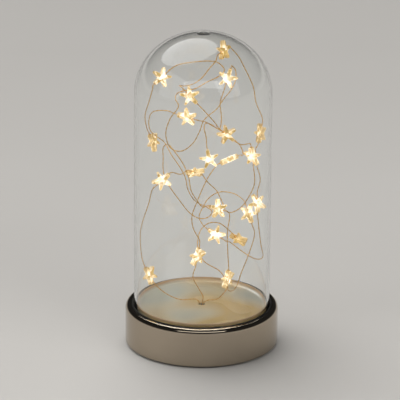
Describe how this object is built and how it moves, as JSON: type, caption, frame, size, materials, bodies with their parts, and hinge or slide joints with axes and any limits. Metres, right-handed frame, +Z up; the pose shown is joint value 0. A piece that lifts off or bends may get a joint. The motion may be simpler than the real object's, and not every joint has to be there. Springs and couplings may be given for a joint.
{
  "type": "led glass dome light",
  "caption": "Clear glass dome on a round chrome base, with a battery-lit copper wire string of glowing star caps looping over a mirror tray.",
  "frame": {"origin": "on the table, under the middle of the base", "axes": "+Z up along the dome, -Y the front"},
  "size_m": [0.12, 0.12, 0.2534],
  "materials": {
    "chrome_shell": "polished plating",
    "clear_glass": "clear, polished",
    "black_rubber": "matt moulded",
    "tray_mirror": "slightly hazy mirror",
    "dark_plastic": "fine grain",
    "knob_plastic": "moulded",
    "board": "solder mask",
    "resistor_body": "lacquer",
    "red_insulation": "extruded",
    "black_insulation": "extruded",
    "cell_can": "plain sleeve",
    "steel": "nickel plated",
    "copper_wire": "clear lacquer",
    "star_acrylic": "clear moulded, lit from inside"
  },
  "bodies": {
    "base": {"base_housing": "chrome_shell", "dome_gasket": "black_rubber", "mirror_tray": "tray_mirror", "bottom_plate": "dark_plastic", "switch_body": "dark_plastic", "control_board": "board", "dropper_resistor": "resistor_body", "lead_battery": "red_insulation", "lead_switch": "red_insulation", "lead_return": "black_insulation", "aa_cell_1": "cell_can", "aa_cell_2": "cell_can", "aa_cell_3": "cell_can", "battery_spring_1": "steel", "battery_spring_2": "steel", "battery_spring_3": "steel", "contact_terminal_1": "steel", "contact_terminal_2": "steel", "contact_bridge_1": "steel", "contact_bridge_2": "steel", "plate_screw_1": "steel", "plate_screw_2": "steel", "plate_screw_3": "steel", "rubber_foot_1": "black_rubber", "rubber_foot_2": "black_rubber", "rubber_foot_3": "black_rubber", "rubber_foot_4": "black_rubber", "light_wire_a": "copper_wire", "light_wire_b": "copper_wire", "light_wire_c": "copper_wire", "star_01": "star_acrylic", "star_02": "star_acrylic", "star_03": "star_acrylic", "star_04": "star_acrylic", "star_05": "star_acrylic", "star_06": "star_acrylic", "star_07": "star_acrylic", "star_08": "star_acrylic", "star_09": "star_acrylic", "star_10": "star_acrylic", "star_11": "star_acrylic", "star_12": "star_acrylic", "star_13": "star_acrylic", "star_14": "star_acrylic", "star_15": "star_acrylic", "star_16": "star_acrylic", "star_17": "star_acrylic", "star_18": "star_acrylic", "star_19": "star_acrylic", "star_20": "star_acrylic", "star_21": "star_acrylic"},
    "dome": {"glass_dome": "clear_glass"},
    "door": {"battery_door": "dark_plastic"},
    "knob": {"switch_knob": "knob_plastic"}
  },
  "joints": [
    {"name": "dome_lift", "type": "slide", "parent": "base", "child": "dome", "axis": [0, 0, 1], "range_m": [0, 0.225]},
    {"name": "door_hinge", "type": "hinge", "parent": "base", "child": "door", "pos_m": [0, 0.02105, 0.003], "axis": [1, 0, 0], "range_deg": [0, 100]},
    {"name": "switch_slide", "type": "slide", "parent": "base", "child": "knob", "axis": [1, 0, 0], "range_m": [0, 0.004]}
  ]
}
